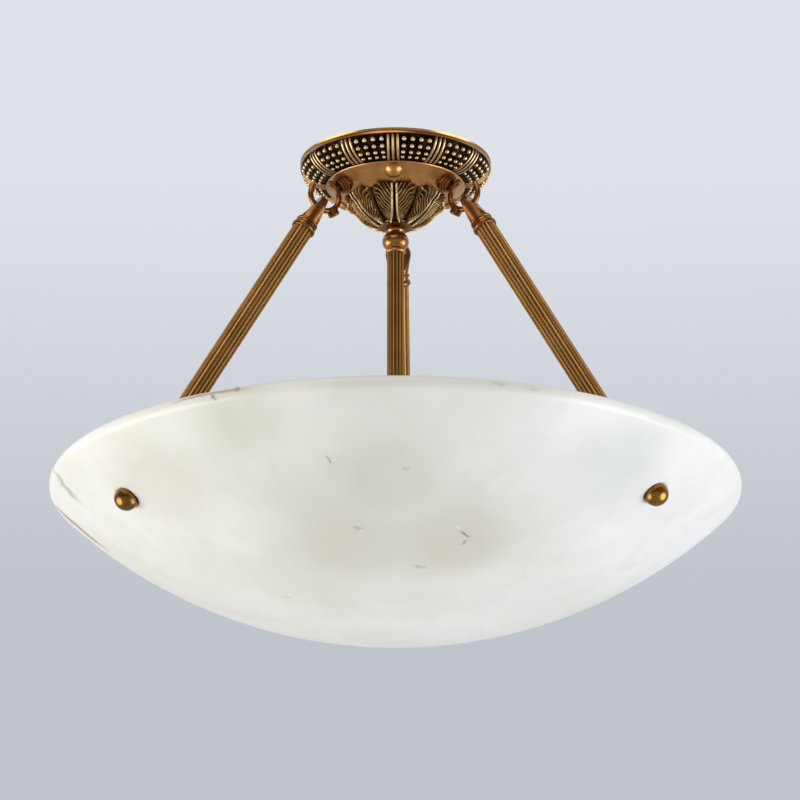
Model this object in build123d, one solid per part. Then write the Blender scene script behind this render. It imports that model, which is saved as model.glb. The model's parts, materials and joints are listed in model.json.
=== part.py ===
from build123d import *
import os
from math import asin, atan, atan2, cos, degrees, pi, radians, sin, sqrt, tan

# Alabaster bowl ceiling light. The ceiling is the plane z = 0, +Z is up and the light's axis is Z.
# Lengths are millimetres and angles are degrees.

# Where the arms and the lamps stand round the axis
arm_azimuths = {"back": 90.0, "left": 210.0, "right": 330.0}
lamp_azimuths = {"right": 30.0, "left": 150.0, "front": 270.0}

# Alabaster bowl: a spherical shell with a fully rounded rim
bowl_diameter = 500.0
bowl_height = 108.5
bowl_wall = 12.0
overall_height = 360.0

# Clearances
seat_gap = 0.1
slip_gap = 0.3
thread_gap = 0.05
thrust_gap = 0.05
mouth_gap = 0.6
tab_gap = 0.6

# Canopy flange: a cast ring with a plain lip, a convex face and groups of ribs
canopy_diameter = 143.8
lip_height = 4.3
lip_round = 0.9
lip_step = 2.0
flange_depth = 17.5
flange_foot_inset = 0.1
flange_bulge = 3.5
flange_wall = 3.0
rib_groups = 12
ribs_in_group = 3
rib_width = 1.7
rib_spacing = 3.0
rib_rise = 0.9

# Canopy dish: the smooth band below the flange, with a flat floor
band_top_radius = 50.4
band_width = 15.6
band_height = 10.7
shoulder_overhang = 1.3
shoulder_height = 1.8
skirt_inset = 1.0
skirt_height = 5.0
dish_wall = 2.4

# Domed canopy screws, square to the band
screw_inset = 5.3
screw_head_diameter = 12.2
screw_head_height = 4.0
screw_head_edge = 1.0
screw_diameter = 5.0
screw_length = 10.0

# Ceiling bracket and terminal block
bracket_margin = 5.4
bracket_thickness = 2.5
bracket_leg_width = 12.0
bracket_leg_inset = 8.0
bracket_tab_rise = 2.4
ceiling_hole_spacing = 70.0
ceiling_hole_diameter = 5.2
wire_hole_diameter = 16.0
terminal_length = 28.0
terminal_width = 14.0
terminal_height = 12.0
terminal_offset = 22.0
terminal_bore = 3.4
terminal_poles = 3

# Acanthus cup
cup_top_inset = 1.6
cup_foot_radius = 12.2
cup_height = 19.0
cup_bulge = 4.6
cup_wall = 2.4
cup_lip_radius = 13.4
cup_lip_height = 2.0
leaf_count = 6
leaf_overhang = 2.4
leaf_tip_depth = 1.2
leaf_bulge = 3.6
leaf_foot_rise = 0.8
leaf_lobe_bulge = 1.4
leaf_half_widths = (3.0, 9.2, 14.2, 9.0)
leaf_notch_shares = (0.0, 0.36, 0.76, 0.98)
midrib_width = 1.5
midrib_spacing = 3.2
midrib_rise = 0.9

# Threaded nipples, nuts and the turned pieces of the stem
nipple_diameter = 8.0
nipple_bore = 5.5
nipple_engagement = 14.0
nipple_spare = 3.0
nut_across_flats = 13.0
nut_height = 6.0
washer_diameter = 22.0
washer_thickness = 1.6
bead_radius = 6.7
bead_height = 4.4
ball_radius = 9.9
ball_height = 13.2
ball_neck_radius = 5.6
collar_radius = 7.4
collar_height = 3.0
stem_diameter = 12.6
stem_flutes = 14

# Flutes, cut with a round tool
flute_tool_radius = 1.25
flute_depth = 0.8

# Ring hooks and their ridged bosses
hook_inset = 6.55
hook_drop_angle = 40.0
boss_length = 6.1
boss_root = 7.0
boss_ridge_radii = (6.4, 7.2, 8.0)
boss_ridge_width = 1.9
boss_groove = 0.9
hook_ring_radius = 11.6
hook_wire = 4.2
hook_neck_length = 0.2
hook_ring_start = 105.0
hook_ring_sweep = 298.0
hook_stub_angle = 240.0
hook_stub_radius = 4.2
hook_stub_length = 5.2
hook_stub_round = 1.2
hook_end_round = 1.5
hook_shank_diameter = 5.0
saddle_radius = 7.0
saddle_depth = 3.0
hook_nut_across_flats = 8.0
hook_nut_height = 4.0

# Arms, from the hook rings to holes in the stone
arm_hole_inset = 34.85
arm_diameter = 15.6
arm_bore = 9.0
arm_flutes = 16
rod_diameter = 8.0
rod_engagement = 12.0
foot_diameter = 20.0
foot_height = 5.0
foot_neck_height = 2.0
soft_washer_diameter = 18.0
soft_washer_thickness = 1.5
stone_hole_diameter = 9.6
spot_face_margin = 1.0
spot_face_depth_margin = 0.2

# Ferrules: flat pierced head, round body, two turned rings
eye_radius = 3.4
hang_gap = 0.3
ferrule_head_radius = 9.6
ferrule_head_thickness = 6.4
ferrule_tip_thickness = 4.6
ferrule_taper_length = 15.0
ferrule_body_radius = 7.1
ferrule_ring_radius = 8.4
ferrule_ring_height = 2.4
ferrule_waist_radius = 7.4
ferrule_waist_height = 2.0
ferrule_collar_radius = 9.1
ferrule_collar_height = 4.6

# Finials outside the bowl
finial_diameter = 17.8
finial_height = 10.0
finial_base_height = 2.0
finial_bore_depth = 6.5
finial_washer_diameter = 15.0
finial_washer_thickness = 1.0

# Lamp cluster
lamp_rise = 82.4
cluster_radius = 23.0
cluster_height = 32.0
cluster_wall = 1.6
lamp_depth_in_cluster = 16.0
cover_height = 2.0
cover_dome = 3.0
knob_radius = 6.5
knob_height = 8.0
knob_base_height = 2.0
knob_bore_depth = 5.0

# Lampholders and bulbs (small screw cap, 14 mm)
holder_length = 36.4
holder_root_radius = 10.0
holder_radius = 13.5
holder_taper = 6.0
holder_rim_radius = 15.0
holder_rim_height = 3.0
holder_stud_diameter = 9.8
holder_stud_length = 7.0
holder_nut_radius = 7.5
holder_nut_height = 3.4
cap_diameter = 13.9
cap_length = 20.0
contact_radius = 3.0
contact_length = 1.5
bulb_diameter = 45.0
bulb_neck_diameter = 17.0
bulb_length = 55.0
glass_wall = 1.2

# Radii of the canopy, worked out from the band
band_bottom_radius = band_top_radius - band_width
shoulder_radius = band_top_radius + shoulder_overhang
skirt_radius = band_top_radius - skirt_inset
flange_foot_radius = shoulder_radius - flange_foot_inset
screw_radius_on_band = band_top_radius - screw_inset
hook_radius_on_band = band_top_radius - hook_inset
bracket_radius = skirt_radius - bracket_margin
bracket_leg_radius = screw_radius_on_band - bracket_leg_inset
cup_top_radius = band_bottom_radius - cup_top_inset
leaf_tip_radius = band_bottom_radius + leaf_overhang

# Heights worked out down the axis
flange_bottom = -flange_depth
band_top = flange_bottom - shoulder_height
dish_bottom = band_top - band_height
cup_bottom = dish_bottom - cup_height
cup_lip_bottom = cup_bottom - cup_lip_height
bead_bottom = cup_lip_bottom - bead_height
ball_bottom = bead_bottom - ball_height
stem_top = ball_bottom - collar_height
bowl_bottom = -overall_height
lamp_level = bowl_bottom + lamp_rise
stem_bottom = lamp_level + lamp_depth_in_cluster
cluster_bottom = stem_bottom - cluster_height
cover_bottom = cluster_bottom - cover_height

# The smooth band's slope, and the height of its outer face at a radius
band_angle = degrees(atan2(band_height, band_top_radius - band_bottom_radius))
dish_floor = dish_bottom + dish_wall


def band_height_at(radius):
    return band_top - (band_top_radius - radius) * tan(radians(band_angle))


# Bowl: centre and radii of the two spheres that bound the stone
rim_radius = bowl_wall / 2
rim_circle = bowl_diameter / 2 - rim_radius
rim_level = bowl_bottom + bowl_height - rim_radius
bowl_half_angle = 2 * atan((bowl_height - bowl_wall) / rim_circle)
bowl_mid_radius = rim_circle / sin(bowl_half_angle)
bowl_outer_radius = bowl_mid_radius + rim_radius
bowl_inner_radius = bowl_mid_radius - rim_radius
bowl_centre = rim_level + bowl_mid_radius * cos(bowl_half_angle)

# Hook ring: its centre in the radial plane, as radius and height
hook_reach = boss_length + hook_neck_length + hook_wire / 2 + hook_ring_radius
hook_seat_height = band_height_at(hook_radius_on_band)
ring_centre_radius = hook_radius_on_band + hook_reach * cos(radians(hook_drop_angle))
ring_centre_height = hook_seat_height - hook_reach * sin(radians(hook_drop_angle))

# The arm's tilt, from the ring's centre to its hole in the stone
hole_circle = rim_circle - arm_hole_inset
hole_level = bowl_centre - sqrt(bowl_mid_radius ** 2 - hole_circle ** 2)
arm_tilt = degrees(atan2(hole_circle - ring_centre_radius, ring_centre_height - hole_level))


def arm_reach(sphere_radius):
    """Distance along the arm's axis from the hook ring's centre to a sphere round the bowl's centre."""
    rise = ring_centre_height - bowl_centre
    along = ring_centre_radius * sin(radians(arm_tilt)) - rise * cos(radians(arm_tilt))
    apart = ring_centre_radius ** 2 + rise ** 2 - sphere_radius ** 2
    return -along + sqrt(along ** 2 - apart)


def spot_face_depth(face_radius):
    """How deep a flat seat of that radius is sunk on the arm's axis, so all of it lies in the stone."""
    crossing_radius = ring_centre_radius + arm_reach(bowl_mid_radius) * sin(radians(arm_tilt))
    lean = abs(asin(crossing_radius / bowl_mid_radius) - radians(arm_tilt))
    return face_radius * tan(lean) + face_radius ** 2 / (2 * bowl_inner_radius) + spot_face_depth_margin


# Stations along the arm's axis, from the hook ring's centre
wire_sag = (ferrule_head_thickness / 2) ** 2 / (2 * hook_ring_radius)
eye_station = hook_ring_radius + eye_radius - hook_wire / 2 - wire_sag - hang_gap
taper_station = eye_station + ferrule_taper_length
ring_station = taper_station + ferrule_ring_height
waist_station = ring_station + ferrule_waist_height
ferrule_station = waist_station + ferrule_collar_height
inner_face_radius = foot_diameter / 2 + spot_face_margin
outer_face_radius = finial_diameter / 2 + spot_face_margin
inner_face_station = arm_reach(bowl_inner_radius) + spot_face_depth(inner_face_radius)
outer_face_station = arm_reach(bowl_outer_radius) - spot_face_depth(outer_face_radius)
foot_bottom_station = inner_face_station - soft_washer_thickness
foot_top_station = foot_bottom_station - foot_height
finial_station = outer_face_station + finial_washer_thickness + thrust_gap
rod_top_station = ferrule_station - rod_engagement
rod_bottom_station = finial_station + finial_bore_depth - slip_gap

# Stations along a lamp's axis, from the light's axis
holder_station = cluster_radius + seat_gap
holder_mouth_station = holder_station + holder_length
cap_end_station = holder_mouth_station + mouth_gap
cap_start_station = cap_end_station - cap_length

# Frames in the radial plane of azimuth 0, where +X points away from the axis
band_normal = (sin(radians(band_angle)), 0, -cos(radians(band_angle)))
hook_axis = (cos(radians(hook_drop_angle)), 0, -sin(radians(hook_drop_angle)))
arm_axis = (sin(radians(arm_tilt)), 0, -cos(radians(arm_tilt)))
across_arm = (cos(radians(arm_tilt)), 0, sin(radians(arm_tilt)))
ring_centre = (ring_centre_radius, 0, ring_centre_height)
hook_frame = Plane((hook_radius_on_band, 0, hook_seat_height), x_dir=(0, 1, 0), z_dir=hook_axis)
ring_frame = Plane(ring_centre, x_dir=(1, 0, 0), z_dir=(0, -1, 0))
arm_frame = Plane(ring_centre, x_dir=across_arm, z_dir=arm_axis)
screw_seat = (screw_radius_on_band, 0, band_height_at(screw_radius_on_band))
screw_frame = Plane(screw_seat, x_dir=(0, 1, 0), z_dir=band_normal)
lamp_frame = Plane((0, 0, lamp_level), x_dir=(0, 1, 0), z_dir=(1, 0, 0))

upward = (Align.CENTER, Align.CENTER, Align.MIN)
downward = (Align.CENTER, Align.CENTER, Align.MAX)


def turned(*edges):
    """Solid of revolution round Z from a closed outline of (radius, height)."""
    return revolve(Plane.XZ * make_face(Curve() + list(edges)), Axis.Z)


def turned_along(frame, *edges):
    return frame * turned(*edges)


def pin(radius, start, end):
    """Plain cylinder on Z between two heights."""
    return Pos(0, 0, min(start, end)) * Cylinder(radius, abs(end - start), align=upward)


def sleeve(outer, inner, start, end):
    return pin(outer, start, end) - pin(inner, start, end)


def hexagon_nut(across_flats, bore_radius, start, end):
    prism = extrude(RegularPolygon(across_flats / 2, 6, major_radius=False), abs(end - start))
    return Pos(0, 0, min(start, end)) * prism - pin(bore_radius, start, end)


def dome(radius, base, top):
    """Edge of a spherical cap, from its rim to its crown on the axis."""
    rise = top - base
    ball = (radius ** 2 + rise ** 2) / (2 * rise)
    half_angle = atan2(abs(rise), radius)
    middle = (abs(ball) * sin(half_angle), top - ball + ball * cos(half_angle))
    return ThreePointArc((radius, base), middle, (0, top))


def around(azimuth, shape):
    return Rot(0, 0, azimuth) * shape


def ring_of(azimuths, shape):
    """One node holding the same piece at several azimuths, as separate solids."""
    return Compound(children=[around(azimuth, shape) for azimuth in azimuths.values()])


def fluted_tube(diameter, bore, length, flutes):
    tool_circle = diameter / 2 + flute_tool_radius - flute_depth
    section = Circle(diameter / 2) - Circle(bore / 2)
    section -= PolarLocations(tool_circle, flutes) * Circle(flute_tool_radius)
    return extrude(section, length)


def canopy_flange():
    lip_radius = canopy_diameter / 2
    face_top = (lip_radius - lip_step, -lip_height)
    face_foot = (flange_foot_radius, flange_bottom)
    bore = skirt_radius + slip_gap
    wall_top = (lip_radius - lip_step - flange_wall, -lip_height)
    wall_foot = (bore, flange_bottom + flange_wall)
    straight_lip = lip_radius - lip_round
    body = turned(
        Polyline(wall_top, (wall_top[0], 0), (straight_lip, 0)),
        ThreePointArc((straight_lip, 0), (lip_radius, -lip_height / 2), (straight_lip, -lip_height)),
        Line((straight_lip, -lip_height), face_top),
        SagittaArc(face_top, face_foot, flange_bulge),
        Polyline(face_foot, (bore, flange_bottom), wall_foot),
        SagittaArc(wall_foot, wall_top, -flange_bulge),
    )
    raised_face = make_face(Curve() + [
        SagittaArc(face_top, face_foot, flange_bulge + rib_rise),
        Line(face_foot, face_top),
    ])
    bar = extrude(Plane.XZ * raised_face, rib_width / 2, both=True)
    middle_rib = (ribs_in_group - 1) / 2
    return body + [
        around(group * 360 / rib_groups, Pos(0, (rib - middle_rib) * rib_spacing, 0) * bar)
        for group in range(rib_groups) for rib in range(ribs_in_group)
    ]


def dish_cavity(clearance):
    """Space above the dish floor, bounded by the inner face of the band and the bore of the skirt."""
    inset = (dish_wall + clearance) / cos(radians(band_angle))
    slope = tan(radians(band_angle))
    floor_radius = band_bottom_radius + (dish_floor - dish_bottom - inset) / slope
    bore = skirt_radius - dish_wall - clearance
    bend = dish_floor + (bore - floor_radius) * slope
    return turned(Polyline((0, dish_floor), (floor_radius, dish_floor), (bore, bend), (bore, flange_bottom),
                           (0, flange_bottom), (0, dish_floor)))


def dish_envelope(clearance):
    """Everything inside the band's outer face, with room to spare."""
    swell = clearance / cos(radians(band_angle))
    return turned(Polyline((0, dish_bottom), (band_bottom_radius, dish_bottom - swell),
                           (band_top_radius, band_top - swell), (band_top_radius, 0), (0, 0),
                           (0, dish_bottom)))


def canopy_dish():
    skirt_top = flange_bottom + skirt_height
    shell = turned(
        Polyline((0, dish_bottom), (band_bottom_radius, dish_bottom), (band_top_radius, band_top),
                 (shoulder_radius - shoulder_height / 2, band_top)),
        ThreePointArc((shoulder_radius - shoulder_height / 2, band_top),
                      (shoulder_radius, band_top + shoulder_height / 2),
                      (shoulder_radius - shoulder_height / 2, flange_bottom)),
        Polyline((shoulder_radius - shoulder_height / 2, flange_bottom), (skirt_radius, flange_bottom),
                 (skirt_radius, skirt_top), (0, skirt_top), (0, dish_bottom)),
    )
    shell -= dish_cavity(0)
    shell -= pin(skirt_radius - dish_wall, flange_bottom, skirt_top)
    shell -= pin(nipple_diameter / 2 + slip_gap, dish_bottom, dish_floor)
    hook_hole = hook_frame * pin(hook_shank_diameter / 2 + slip_gap, -saddle_radius, boss_root)
    for azimuth in arm_azimuths.values():
        shell -= around(azimuth, hook_hole)
    screw_hole = screw_frame * pin(screw_diameter / 2 + slip_gap, -screw_length, screw_head_height)
    for azimuth in lamp_azimuths.values():
        shell -= around(azimuth, screw_hole)
    return shell


def canopy_screw():
    head_radius = screw_head_diameter / 2
    shank = screw_diameter / 2
    edge = seat_gap + screw_head_edge
    top = seat_gap + screw_head_height
    return turned_along(
        screw_frame,
        Polyline((0, -screw_length), (shank, -screw_length), (shank, seat_gap), (head_radius, seat_gap),
                 (head_radius, edge)),
        dome(head_radius, edge, top),
        Line((0, top), (0, -screw_length)),
    )


def ceiling_bracket():
    plate = pin(bracket_radius, -bracket_thickness, 0)
    plate -= pin(wire_hole_diameter / 2, -bracket_thickness, 0)
    for side in (-1, 1):
        ceiling_hole = pin(ceiling_hole_diameter / 2, -bracket_thickness, 0)
        plate -= Pos(side * ceiling_hole_spacing / 2, 0, 0) * ceiling_hole
    middle = bracket_thickness / 2
    behind_band = dish_wall + tab_gap + middle
    tab_radius = screw_radius_on_band - behind_band * sin(radians(band_angle))
    tab_height = band_height_at(screw_radius_on_band) + behind_band * cos(radians(band_angle))
    slope = tan(radians(band_angle))
    tab_low = (bracket_leg_radius, tab_height - (tab_radius - bracket_leg_radius) * slope)
    tab_high = (tab_radius + bracket_tab_rise, tab_height + bracket_tab_rise * slope)
    route = Polyline((bracket_leg_radius, -middle), tab_low, tab_high)
    leg = extrude(Plane.XZ * trace(route, bracket_thickness), bracket_leg_width / 2, both=True)
    leg -= screw_frame * pin(screw_diameter / 2 + thread_gap, -screw_length, screw_head_height)
    for azimuth in lamp_azimuths.values():
        plate += around(azimuth, leg)
    return plate


def terminal_block():
    block = Box(terminal_length, terminal_width, terminal_height, align=downward)
    bore = Cylinder(terminal_bore / 2, terminal_width, rotation=(90, 0, 0))
    pole_pitch = terminal_length / terminal_poles
    middle_pole = (terminal_poles - 1) / 2
    for pole in range(terminal_poles):
        block -= Pos((pole - middle_pole) * pole_pitch, 0, -terminal_height / 2) * bore
    return Pos(0, terminal_offset, -bracket_thickness) * block


def leaf_mask():
    """Outline of one leaf seen square on: lobed sides between notches, as (half width, height)."""
    shares = zip(leaf_half_widths, leaf_notch_shares)
    notches = [(half_width, cup_bottom + share * cup_height) for half_width, share in shares]
    edges = [Line((-notches[0][0], notches[0][1]), notches[0])]
    for low, high in zip(notches, notches[1:]):
        edges.append(SagittaArc(low, high, -leaf_lobe_bulge))
        edges.append(SagittaArc((-high[0], high[1]), (-low[0], low[1]), -leaf_lobe_bulge))
    top = notches[-1]
    edges.append(Line(top, (-top[0], top[1])))
    return extrude(Plane.YZ * make_face(Curve() + edges), leaf_tip_radius + leaf_bulge)


def leaf_shell(rise):
    """Swept leaf surface: stands on the cup and turns out to its tip at the top."""
    tip = (leaf_tip_radius + rise, dish_bottom - leaf_tip_depth)
    foot = (cup_foot_radius + leaf_foot_rise + rise, cup_bottom)
    root = (cup_top_radius - cup_wall / 2, dish_bottom)
    heel = (cup_foot_radius - cup_wall / 2, cup_bottom)
    return turned(
        SagittaArc(tip, foot, leaf_bulge + rise / 2),
        Line(foot, heel),
        SagittaArc(heel, root, -cup_bulge),
        Line(root, tip),
    )


def acanthus_cup():
    top = (cup_top_radius, dish_bottom)
    foot = (cup_foot_radius, cup_bottom)
    inner_top = (cup_top_radius - cup_wall, dish_bottom)
    inner_foot = (cup_foot_radius - cup_wall, cup_bottom + cup_wall)
    bore = nipple_diameter / 2 + slip_gap
    core = turned(
        SagittaArc(top, foot, cup_bulge),
        Polyline(foot, (cup_lip_radius, cup_bottom), (cup_lip_radius, cup_lip_bottom),
                 (bore, cup_lip_bottom), (bore, inner_foot[1]), inner_foot),
        SagittaArc(inner_foot, inner_top, -cup_bulge),
        Line(inner_top, top),
    )
    blade = leaf_shell(0) & leaf_mask()
    outward = (Align.MIN, Align.CENTER, Align.CENTER)
    rib_bar = Box(2 * leaf_tip_radius, midrib_width, 2 * cup_height, align=outward)
    for side in (-1, 1):
        bar = Pos(0, side * midrib_spacing / 2, dish_bottom - cup_height / 2) * rib_bar
        blade += leaf_shell(midrib_rise) & bar
    for leaf in range(leaf_count):
        core += around(90 + leaf * 360 / leaf_count, blade)
    return core


def stem_nipple():
    top = dish_floor + washer_thickness + nut_height + nipple_spare
    return sleeve(nipple_diameter / 2, nipple_bore / 2, stem_top - nipple_engagement, top)


def stem_washer():
    bore = nipple_diameter / 2 + slip_gap
    return sleeve(washer_diameter / 2, bore, dish_floor, dish_floor + washer_thickness)


def stem_lock_nut():
    start = dish_floor + washer_thickness
    return hexagon_nut(nut_across_flats, nipple_diameter / 2 + thread_gap, start, start + nut_height)


def stem_ball():
    bore = nipple_diameter / 2 + slip_gap
    neck = (ball_neck_radius, bead_bottom)
    foot = (ball_neck_radius, ball_bottom)
    bead_top = (ball_neck_radius, cup_lip_bottom)
    return turned(
        ThreePointArc(bead_top, (bead_radius, cup_lip_bottom - bead_height / 2), neck),
        ThreePointArc(neck, (ball_radius, bead_bottom - ball_height / 2), foot),
        Polyline(foot, (bore, ball_bottom), (bore, cup_lip_bottom), bead_top),
    )


def stem_collar():
    bore = nipple_diameter / 2 + slip_gap
    edge = collar_radius - collar_height / 2
    widest = (collar_radius, ball_bottom - collar_height / 2)
    return turned(
        ThreePointArc((edge, ball_bottom), widest, (edge, stem_top)),
        Polyline((edge, stem_top), (bore, stem_top), (bore, ball_bottom), (edge, ball_bottom)),
    )


def stem_tube():
    bore = nipple_diameter + 2 * thread_gap
    return Pos(0, 0, stem_bottom) * fluted_tube(stem_diameter, bore, stem_top - stem_bottom, stem_flutes)


def hook_boss():
    """Turned spool with three ridges, its root cut to sit on the sloping band."""
    bore = hook_shank_diameter / 2 + slip_gap
    outline = []
    place = (bore, boss_length)
    for radius in boss_ridge_radii:
        valley = radius - boss_groove
        crest = (radius, place[1] - boss_ridge_width / 2)
        end = (valley, place[1] - boss_ridge_width)
        outline.append(Polyline(place, (valley, place[1]), crest, end))
        place = end
    outline.append(Polyline(place, (place[0], -boss_root), (bore, -boss_root), (bore, boss_length)))
    spool = turned_along(hook_frame, *outline)
    return spool - dish_envelope(seat_gap) - leaf_shell(midrib_rise + slip_gap)


def hook():
    """Open ring with a stub under it and a shank through the boss and the dish."""
    wire = hook_wire / 2
    ring = Torus(hook_ring_radius, wire, major_angle=hook_ring_sweep)
    cut_ends = [edge for edge in ring.edges() if edge.length < 2 * pi * hook_wire]
    ring = Rot(0, 0, hook_ring_start) * fillet(cut_ends, hook_end_round)
    stub = Cylinder(hook_stub_radius, hook_stub_length, align=upward)
    stub = fillet(stub.edges().group_by(Axis.Z)[-1], hook_stub_round)
    stub = Rot(0, 0, hook_stub_angle) * Pos(hook_ring_radius, 0, 0) * Rot(0, 90, 0) * stub
    wire_station = boss_length + hook_neck_length + wire
    shank_end = saddle_top_station() - hook_nut_height - nipple_spare
    shank = hook_frame * pin(hook_shank_diameter / 2, shank_end, wire_station)
    return shank + ring_frame * ring + ring_frame * stub


def saddle_top_station():
    """Inner flat of the saddle washer, on the hook's axis."""
    lean = 90 - band_angle - hook_drop_angle
    return -(dish_wall + seat_gap) / cos(radians(lean)) - saddle_depth


def hook_saddle():
    bore = hook_shank_diameter / 2 + slip_gap
    blank = hook_frame * sleeve(saddle_radius, bore, saddle_top_station(), saddle_radius)
    return blank & dish_cavity(seat_gap)


def hook_nut():
    start = saddle_top_station()
    bore = hook_shank_diameter / 2 + thread_gap
    return hook_frame * hexagon_nut(hook_nut_across_flats, bore, start, start - hook_nut_height)


def ferrule():
    """Turned blank with two rings at its foot, flattened to a wedge at its head and pierced for the hook."""
    head_top = eye_station - ferrule_head_radius
    lean = asin((ferrule_head_radius - ferrule_body_radius) / ferrule_taper_length)
    cheek = (ferrule_head_radius * cos(lean), eye_station + ferrule_head_radius * sin(lean))
    crown_angle = (lean - pi / 2) / 2
    crown = (ferrule_head_radius * cos(crown_angle), eye_station + ferrule_head_radius * sin(crown_angle))
    ring_edge = ferrule_ring_radius - ferrule_ring_height / 2
    collar_edge = ferrule_collar_radius - ferrule_collar_height / 4
    blank = turned(
        ThreePointArc((0, head_top), crown, cheek),
        Polyline(cheek, (ferrule_body_radius, taper_station), (ring_edge, taper_station)),
        ThreePointArc((ring_edge, taper_station),
                      (ferrule_ring_radius, taper_station + ferrule_ring_height / 2),
                      (ring_edge, ring_station)),
        Polyline((ring_edge, ring_station), (ferrule_waist_radius, ring_station),
                 (ferrule_waist_radius, waist_station), (collar_edge, waist_station)),
        ThreePointArc((collar_edge, waist_station),
                      (ferrule_collar_radius, waist_station + ferrule_collar_height / 2),
                      (collar_edge, ferrule_station)),
        Polyline((collar_edge, ferrule_station), (0, ferrule_station), (0, head_top)),
    )
    reach = ferrule_head_radius + ferrule_collar_radius
    right_side = [(ferrule_tip_thickness / 2, head_top), (ferrule_head_thickness / 2, eye_station),
                  (ferrule_body_radius, taper_station), (reach, taper_station), (reach, ferrule_station)]
    left_side = [(-across, station) for across, station in reversed(right_side)]
    wedge = extrude(Plane.XZ * make_face(Polyline(*right_side, *left_side, close=True)), reach, both=True)
    eye = Pos(0, 0, eye_station) * Cylinder(eye_radius, 2 * reach, rotation=(0, 90, 0))
    tapped_hole = pin(rod_diameter / 2 + thread_gap, rod_top_station - slip_gap, ferrule_station)
    return arm_frame * ((blank & wedge) - eye - tapped_hole)


def arm_tube():
    length = foot_top_station - ferrule_station
    return arm_frame * Pos(0, 0, ferrule_station) * fluted_tube(arm_diameter, arm_bore, length, arm_flutes)


def arm_rod():
    return arm_frame * pin(rod_diameter / 2, rod_top_station, rod_bottom_station)


def arm_foot():
    bore = rod_diameter / 2 + slip_gap
    neck = arm_diameter / 2
    disc_top = foot_top_station + foot_neck_height
    return turned_along(
        arm_frame,
        Polyline((bore, foot_top_station), (neck, foot_top_station)),
        SagittaArc((neck, foot_top_station), (foot_diameter / 2, disc_top), -foot_neck_height / 4),
        Polyline((foot_diameter / 2, disc_top), (foot_diameter / 2, foot_bottom_station),
                 (bore, foot_bottom_station), (bore, foot_top_station)),
    )


def foot_washer():
    bore = rod_diameter / 2 + slip_gap
    return arm_frame * sleeve(soft_washer_diameter / 2, bore, foot_bottom_station, inner_face_station)


def finial_washer():
    bore = rod_diameter / 2 + slip_gap
    end = outer_face_station + finial_washer_thickness
    return arm_frame * sleeve(finial_washer_diameter / 2, bore, outer_face_station, end)


def finial():
    """Domed cap with a blind hole that screws on the rod."""
    bore = rod_diameter / 2 + thread_gap
    radius = finial_diameter / 2
    shoulder = finial_station + finial_base_height
    top = finial_station + finial_height
    hole_end = finial_station + finial_bore_depth
    return turned_along(
        arm_frame,
        Polyline((bore, finial_station), (radius, finial_station), (radius, shoulder)),
        dome(radius, shoulder, top),
        Polyline((0, top), (0, hole_end), (bore, hole_end), (bore, finial_station)),
    )


def alabaster_bowl():
    def on_sphere(radius, angle):
        return (radius * sin(angle), bowl_centre - radius * cos(angle))

    rim_outer = on_sphere(bowl_outer_radius, bowl_half_angle)
    rim_inner = on_sphere(bowl_inner_radius, bowl_half_angle)
    rim_crest = (rim_circle + rim_radius * cos(bowl_half_angle),
                 rim_level + rim_radius * sin(bowl_half_angle))
    bottom_outer = on_sphere(bowl_outer_radius, 0)
    bottom_inner = on_sphere(bowl_inner_radius, 0)
    stone = turned(
        ThreePointArc(bottom_outer, on_sphere(bowl_outer_radius, bowl_half_angle / 2), rim_outer),
        ThreePointArc(rim_outer, rim_crest, rim_inner),
        ThreePointArc(rim_inner, on_sphere(bowl_inner_radius, bowl_half_angle / 2), bottom_inner),
        Line(bottom_inner, bottom_outer),
    )
    hole = pin(stone_hole_diameter / 2, inner_face_station - bowl_wall, outer_face_station + bowl_wall)
    hole += pin(inner_face_radius, inner_face_station - bowl_wall, inner_face_station)
    hole += pin(outer_face_radius, outer_face_station, outer_face_station + bowl_wall)
    for azimuth in arm_azimuths.values():
        stone -= around(azimuth, arm_frame * hole)
    return stone


def lower_nipple():
    end = cover_bottom - cover_dome - knob_bore_depth + slip_gap
    return sleeve(nipple_diameter / 2, nipple_bore / 2, end, stem_bottom + nipple_engagement)


def cluster_body():
    cup = pin(cluster_radius, cluster_bottom, stem_bottom)
    cup -= pin(cluster_radius - cluster_wall, cluster_bottom, stem_bottom - cluster_wall)
    cup -= pin(nipple_diameter / 2 + slip_gap, cluster_bottom, stem_bottom)
    stud_hole = lamp_frame * pin(holder_stud_diameter / 2 + slip_gap, 0, cluster_radius)
    for azimuth in lamp_azimuths.values():
        cup -= around(azimuth, stud_hole)
    return cup


def cluster_lock_nut():
    start = stem_bottom - cluster_wall
    return hexagon_nut(nut_across_flats, nipple_diameter / 2 + thread_gap, start, start - nut_height)


def cluster_cover():
    bore = nipple_diameter / 2 + slip_gap
    low = cover_bottom - cover_dome
    return turned(
        Polyline((bore, cluster_bottom), (cluster_radius, cluster_bottom), (cluster_radius, cover_bottom)),
        SagittaArc((cluster_radius, cover_bottom), (knob_radius, low), cover_dome / 4),
        Polyline((knob_radius, low), (bore, low), (bore, cluster_bottom)),
    )


def cluster_knob():
    bore = nipple_diameter / 2 + thread_gap
    top = cover_bottom - cover_dome
    shoulder = top - knob_base_height
    low = top - knob_height
    hole_end = top - knob_bore_depth
    return turned(
        Polyline((bore, top), (knob_radius, top), (knob_radius, shoulder)),
        dome(knob_radius, shoulder, low),
        Polyline((0, low), (0, hole_end), (bore, hole_end), (bore, top)),
    )


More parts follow.
